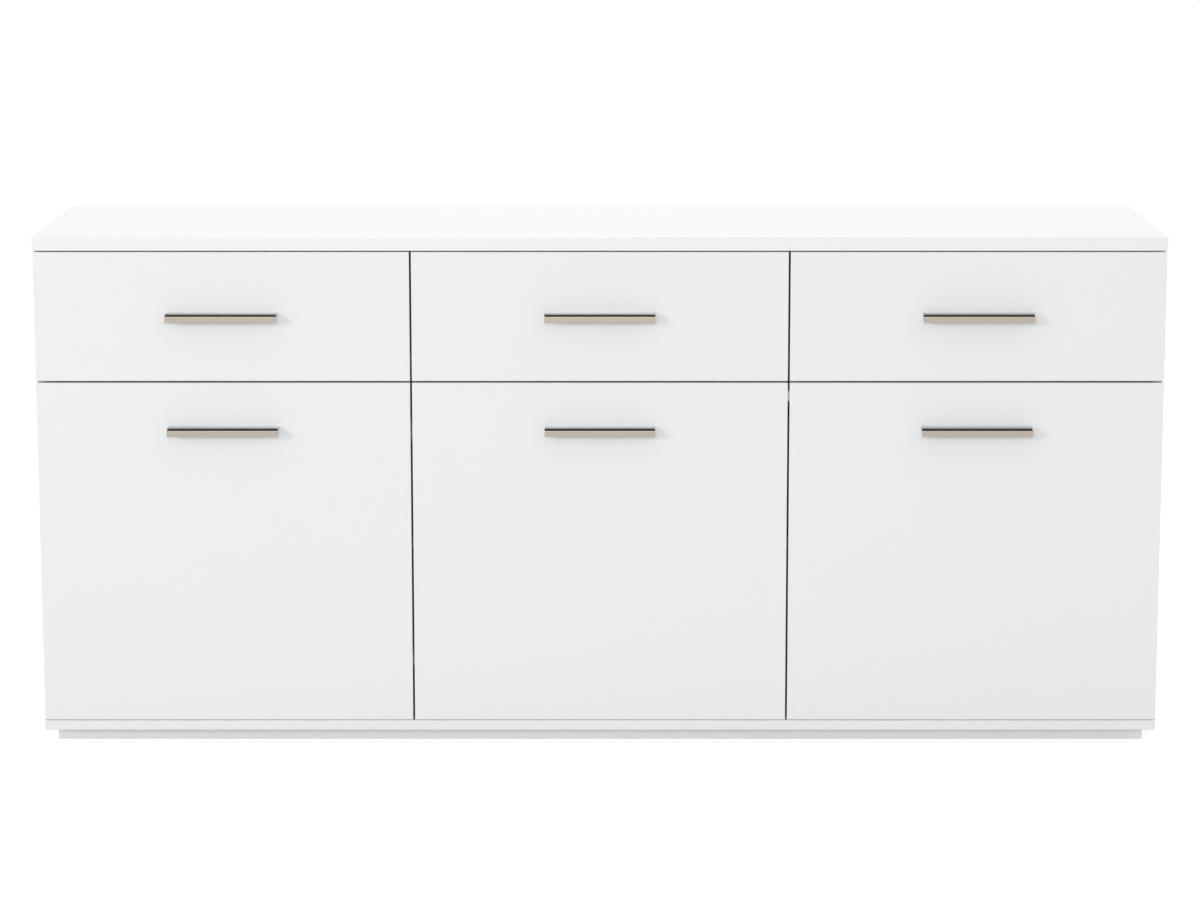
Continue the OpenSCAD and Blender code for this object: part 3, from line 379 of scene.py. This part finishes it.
def powder_coat(colour):
    """White powder coat, baked on sheet steel: a fine orange peel under a satin gloss."""
    material, tree = new_material("Steel, powder coated")
    peel = add_node(
        tree, "ShaderNodeTexNoise",
        {"Vector": local_position(tree), "Scale": 1 / (1.5 * MM), "Detail": 1},
    )
    bump = add_node(
        tree, "ShaderNodeBump",
        {"Height": peel.outputs["Fac"], "Strength": 0.3, "Distance": 0.05 * MM},
    )
    close_material(tree, {"Base Color": colour, "Roughness": 0.35, "Normal": bump.outputs["Normal"]})
    return material


def moulded_plastic(name, colour, roughness):
    """Moulded plastic: an even colour with the faint spark erosion grain of its mould."""
    material, tree = new_material(name)
    grain = add_node(
        tree, "ShaderNodeTexNoise",
        {"Vector": local_position(tree), "Scale": 1 / (0.7 * MM), "Detail": 2},
    )
    bump = add_node(
        tree, "ShaderNodeBump",
        {"Height": grain.outputs["Fac"], "Strength": 0.2, "Distance": 0.03 * MM},
    )
    close_material(tree, {
        "Base Color": colour, "Roughness": roughness, "IOR": 1.53, "Normal": bump.outputs["Normal"],
    })
    return material


def clear_silicone(colour):
    """Cast silicone: clear, soft and slightly milky."""
    material, tree = new_material("Silicone, cast clear")
    haze = add_node(
        tree, "ShaderNodeTexNoise", {"Vector": local_position(tree), "Scale": 1 / (2 * MM)},
    )
    roughness = add_node(
        tree, "ShaderNodeMapRange", {"Value": haze.outputs["Fac"], "To Min": 0.15, "To Max": 0.25},
    )
    close_material(tree, {
        "Base Color": colour, "Roughness": roughness.outputs["Result"], "IOR": 1.41,
        "Transmission Weight": 0.75,
    })
    return material


def new_piece(name, mesh_maker, material, body):
    """Object made by a bmesh function, with its material, that rides on a body."""
    mesh = bpy.data.meshes.new(name)
    shape = bmesh.new()
    mesh_maker(shape)
    shape.to_mesh(mesh)
    shape.free()
    mesh.materials.append(material)
    piece = bpy.data.objects.new(name, mesh)
    bpy.context.scene.collection.objects.link(piece)
    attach(piece, body)
    return piece


class SIDEBOARD_OT_finish_boards(bpy.types.Operator):
    """Gives the boards their films, melamine, chips and hardboard"""

    bl_idname = "sideboard.finish_boards"
    bl_label = "Finish Boards"

    def execute(self, context):
        colours = context.scene.sideboard_boards
        fronts = [f"door_{bay}_panel" for bay in BAYS] + [f"drawer_{bay}_front" for bay in BAYS]
        plinth = ["plinth_front", "plinth_back", "plinth_ends"]
        front_film = gloss_film("Lacquer film, fronts", colours.front_white, colours.gloss_roughness)
        # The top's lighter film is painted light from overhead
        top_film = gloss_film("Lacquer film, top", colours.top_white_painted_lit, colours.gloss_roughness)
        finish([*fronts, *plinth, "base_panel", "side_left", "side_right"], front_film)
        finish(["top_panel"], top_film)
        inside = ["divider_left", "divider_right", "shelves"]
        boxes = [f"drawer_{bay}_{part}" for bay in BAYS for part in ("sides", "back")]
        finish([*inside, *boxes], melamine("Melamine, pearl pressed", colours.inner_white))
        finish(["floor_boards"], raw_chipboard(colours.chip_pale, colours.chip_dark))
        boards = ["back_panels"] + [f"drawer_{bay}_bottom" for bay in BAYS]
        finish(boards, hardboard("Hardboard, painted", colours.hardboard_white, colours.hardboard_brown))
        return {"FINISHED"}


class SIDEBOARD_OT_finish_fittings(bpy.types.Operator):
    """Gives the hinges, catches, screws, nails and pins their metal and plastic"""

    bl_idname = "sideboard.finish_fittings"
    bl_label = "Finish Fittings"

    def execute(self, context):
        colours = context.scene.sideboard_metals
        carcass = ["hinge_arms", "hinge_plates", "panel_screws", "cam_fittings", "base_screws",
                   "back_nails", "shelf_pins"]
        doors = [f"door_{bay}_{part}" for bay in BAYS for part in ("hinge_cups", "fixings")]
        drawers = [f"drawer_{bay}_fixings" for bay in BAYS]
        finish([*carcass, *doors, *drawers], plated_steel(colours.nickel))
        finish(["magnet_catches"], moulded_plastic("Nylon, moulded catch", colours.catch_plastic, 0.45))
        return {"FINISHED"}


class SIDEBOARD_OT_finish_runners(bpy.types.Operator):
    """Gives the runners their powder coat and the rollers their nylon"""

    bl_idname = "sideboard.finish_runners"
    bl_label = "Finish Runners"

    def execute(self, context):
        colours = context.scene.sideboard_metals
        runners = ["cabinet_runners"] + [f"drawer_{bay}_runners" for bay in BAYS]
        rollers = [name for bay in BAYS for name in (f"cabinet_rollers_{bay}", f"drawer_{bay}_rollers")]
        finish(runners, powder_coat(colours.runner_coat))
        finish(rollers, moulded_plastic("Nylon, moulded rollers", colours.nylon, 0.4))
        return {"FINISHED"}


class SIDEBOARD_OT_finish_handles(bpy.types.Operator):
    """Brushes the handles and lays a dark strip of painted shade in the step of each"""

    bl_idname = "sideboard.finish_handles"
    bl_label = "Finish Handles"

    def execute(self, context):
        settings = context.scene.sideboard_metals
        bodies = [f"{kind}_{bay}" for kind in FRONT_KINDS for bay in BAYS]
        riser_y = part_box(f"{bodies[0]}_handle")[1].y - HANDLE_WEB_REACH
        # Web and nose colours carry painted reflections: cooler sky on the web, warmer floor on the nose
        metal = brushed_metal(settings.web_metal_painted_sky_reflection, settings.nose_metal_painted_floor_reflection, riser_y)
        # Dark strip of painted shade for the step of each handle
        strip = moulded_plastic("Vinyl, extruded strip", settings.handle_step_painted_shade, 0.6)
        for body in bodies:
            finish([f"{body}_handle"], metal)
            self.add_painted_shade_strip(body, strip, settings)
        return {"FINISHED"}

    @staticmethod
    def add_painted_shade_strip(body, material, settings):
        """Dark angle strip of painted shade on the riser between a handle's web and its nose, and on the
        nose behind its edge.
        """
        low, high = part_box(f"{body}_handle")
        riser_y = high.y - HANDLE_WEB_REACH
        ledge_z = high.z - HANDLE_STEP
        thickness = settings.shade_strip_thickness
        end_air = 0.2 * MM
        section = (
            (riser_y, high.z - end_air), (riser_y, ledge_z), (riser_y - settings.shade_strip_lip, ledge_z),
            (riser_y - settings.shade_strip_lip, ledge_z + thickness),
            (riser_y - thickness, ledge_z + thickness), (riser_y - thickness, high.z - end_air),
        )

        def make(shape):
            start = shape.faces.new([shape.verts.new((low.x + end_air, y, z)) for y, z in section])
            swept = bmesh.ops.extrude_face_region(shape, geom=[start])["geom"]
            corners = [item for item in swept if isinstance(item, bmesh.types.BMVert)]
            bmesh.ops.translate(shape, verts=corners, vec=(high.x - low.x - 2 * end_air, 0, 0))
            bmesh.ops.recalc_face_normals(shape, faces=shape.faces)

        new_piece(f"{body}_handle_inlay", make, material, body)


class SIDEBOARD_OT_add_bumpers(bpy.types.Operator):
    """Sticks clear bumpers on the backs of the fronts, where they meet the carcass"""

    bl_idname = "sideboard.add_bumpers"
    bl_label = "Add Bumpers"

    def execute(self, context):
        sizes = context.scene.sideboard_bumpers
        silicone = clear_silicone(sizes.tint)
        # The middle fronts stand between the dividers and lap no board, so they carry none
        edges = {"left": ("side_left", "divider_left"), "right": ("divider_right", "side_right")}
        free_edges = {"left": ("divider_left",), "right": ("divider_right",)}
        for bay in edges:
            self.add_row(f"drawer_{bay}", f"drawer_{bay}_front", edges[bay], silicone, sizes)
            self.add_row(f"door_{bay}", f"door_{bay}_panel", free_edges[bay], silicone, sizes)
        return {"FINISHED"}

    @staticmethod
    def add_row(body, panel, uprights, material, sizes):
        """Bumpers near both ends of a front, opposite the edges of these uprights."""
        low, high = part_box(panel)
        for upright in uprights:
            edge_low, edge_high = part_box(upright)
            near, far = max(low.x, edge_low.x), min(high.x, edge_high.x)
            if far - near < 2 * sizes.radius:
                raise RuntimeError(f"{panel} doesn't lap {upright} by a bumper's width")
            overlap = (near + far) / 2
            for end, z in (("lower", low.z + sizes.inset), ("upper", high.z - sizes.inset)):
                place = Matrix.Translation((overlap, high.y, z))
                dome = place @ Matrix.Diagonal((sizes.radius, sizes.height, sizes.radius, 1))

                def make(shape):
                    bmesh.ops.create_uvsphere(shape, u_segments=24, v_segments=12, radius=1, matrix=dome)
                    bmesh.ops.bisect_plane(
                        shape, geom=shape.verts[:] + shape.edges[:] + shape.faces[:],
                        plane_co=(0, high.y, 0), plane_no=(0, 1, 0), clear_inner=True,
                    )
                    bmesh.ops.holes_fill(shape, edges=shape.edges)
                    for face in shape.faces:
                        face.smooth = len(face.verts) < 5

                new_piece(f"{body}_bumper_{upright}_{end}", make, material, body)


class SIDEBOARD_OT_build_stage(bpy.types.Operator):
    """Builds the pale floor, the soft studio light and the camera"""

    bl_idname = "sideboard.build_stage"
    bl_label = "Build Stage"

    def execute(self, context):
        settings = context.scene.sideboard_stage
        context.scene.view_settings.view_transform = "Standard"
        self.add_floor(settings)
        self.add_sky(context.scene, settings)
        self.add_lamps(settings)
        self.add_camera(context.scene, settings)
        return {"FINISHED"}

    @staticmethod
    def add_floor(settings):
        """Floor that keeps the object's shadow and turns white where it is seen or mirrored."""
        material, tree = new_material("Floor, matt paint")
        diffuse = add_node(tree, "ShaderNodeBsdfDiffuse", {"Color": settings.floor_tone})
        lift = add_node(tree, "ShaderNodeEmission", {"Strength": settings.floor_lift})
        both = add_node(
            tree, "ShaderNodeAddShader", {0: diffuse.outputs["BSDF"], 1: lift.outputs["Emission"]},
        )
        white = add_node(tree, "ShaderNodeEmission", {"Strength": 1.0})
        camera_ray = add_node(tree, "ShaderNodeLightPath").outputs["Is Camera Ray"]
        seen = mix_shader(tree, camera_ray, diffuse.outputs["BSDF"], both.outputs["Shader"])
        surface = mix_shader(tree, mirrored_rays(tree), seen, white.outputs["Emission"])
        add_node(tree, "ShaderNodeOutputMaterial", {"Surface": surface})
        bpy.ops.mesh.primitive_plane_add(size=60)
        floor = bpy.context.active_object
        floor.name = "studio_floor"
        floor.data.materials.append(material)
        floor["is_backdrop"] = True

    @staticmethod
    def add_sky(scene, settings):
        """White all round for the camera and for reflections, and a soft plain light for the rest."""
        world = bpy.data.worlds.new("Studio white")
        world.use_nodes = True
        scene.world = world
        tree = world.node_tree
        tree.nodes.clear()
        soft = add_node(
            tree, "ShaderNodeBackground",
            {"Color": settings.sky_tone, "Strength": settings.sky_strength},
        )
        white = add_node(tree, "ShaderNodeBackground", {"Color": (1, 1, 1, 1), "Strength": 1.0})
        camera_ray = add_node(tree, "ShaderNodeLightPath").outputs["Is Camera Ray"]
        seen = mix_shader(tree, camera_ray, soft.outputs["Background"], white.outputs["Background"])
        surface = mix_shader(tree, mirrored_rays(tree), seen, white.outputs["Background"])
        add_node(tree, "ShaderNodeOutputWorld", {"Surface": surface})

    @staticmethod
    def add_lamps(settings):
        """Large soft lamps: in front, on the left, overhead and behind."""
        low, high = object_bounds()
        middle = (low + high) / 2
        for name, (place, size, tint) in LAMPS.items():
            data = bpy.data.lights.new(f"{name}_lamp", "AREA")
            data.shape = "SQUARE"
            data.size = size
            data.energy = getattr(settings, f"{name}_power")
            data.color = linear(tint)[:3]
            lamp = bpy.data.objects.new(data.name, data)
            lamp.location = place
            lamp.rotation_euler = (middle - Vector(place)).to_track_quat("-Z", "Y").to_euler()
            bpy.context.scene.collection.objects.link(lamp)

    @staticmethod
    def add_camera(scene, settings):
        """Camera in front of the middle and above the top, tilted down."""
        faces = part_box("door_middle_panel")[0].y
        data = bpy.data.cameras.new("studio_camera")
        data.lens = settings.camera_lens
        data.shift_x = settings.shift_x
        data.shift_y = settings.shift_y
        camera = bpy.data.objects.new("studio_camera", data)
        camera.location = (settings.camera_side, faces - settings.camera_distance, settings.camera_height)
        camera.rotation_euler = (math.radians(90) - settings.camera_tilt, 0, 0)
        scene.collection.objects.link(camera)
        scene.camera = camera


OPERATORS = (
    SIDEBOARD_OT_finish_boards,
    SIDEBOARD_OT_finish_fittings,
    SIDEBOARD_OT_finish_runners,
    SIDEBOARD_OT_finish_handles,
    SIDEBOARD_OT_add_bumpers,
    SIDEBOARD_OT_build_stage,
)
SETTINGS = {
    "sideboard_boards": BoardSettings,
    "sideboard_metals": MetalSettings,
    "sideboard_bumpers": BumperSettings,
    "sideboard_stage": StageSettings,
}


class SIDEBOARD_PT_panel(bpy.types.Panel):
    """Panel that lists the sideboard's operators and settings"""

    bl_idname = "SIDEBOARD_PT_panel"
    bl_label = "Sideboard"
    bl_space_type = "VIEW_3D"
    bl_region_type = "UI"
    bl_category = "Sideboard"

    def draw(self, context):
        for operator in OPERATORS:
            self.layout.operator(operator.bl_idname)
        for name in SETTINGS:
            group = getattr(context.scene, name)
            box = self.layout.box()
            for key in group.bl_rna.properties.keys():
                if key not in ("rna_type", "name"):
                    box.prop(group, key)


def register():
    """Registers the classes and their settings."""
    for name, group in SETTINGS.items():
        bpy.utils.register_class(group)
        setattr(bpy.types.Scene, name, bpy.props.PointerProperty(type=group))
    for cls in (*OPERATORS, SIDEBOARD_PT_panel):
        bpy.utils.register_class(cls)


def unregister():
    """Removes the classes and their settings."""
    for cls in (SIDEBOARD_PT_panel, *reversed(OPERATORS)):
        bpy.utils.unregister_class(cls)
    for name, group in reversed(SETTINGS.items()):
        delattr(bpy.types.Scene, name)
        bpy.utils.unregister_class(group)


def main():
    """Registers the add-on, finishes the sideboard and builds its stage."""
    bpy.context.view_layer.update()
    register()
    bpy.ops.sideboard.finish_boards()
    bpy.ops.sideboard.finish_fittings()
    bpy.ops.sideboard.finish_runners()
    bpy.ops.sideboard.finish_handles()
    bpy.ops.sideboard.add_bumpers()
    bpy.ops.sideboard.build_stage()
    bpy.context.view_layer.update()


if __name__ == "__main__":
    main()
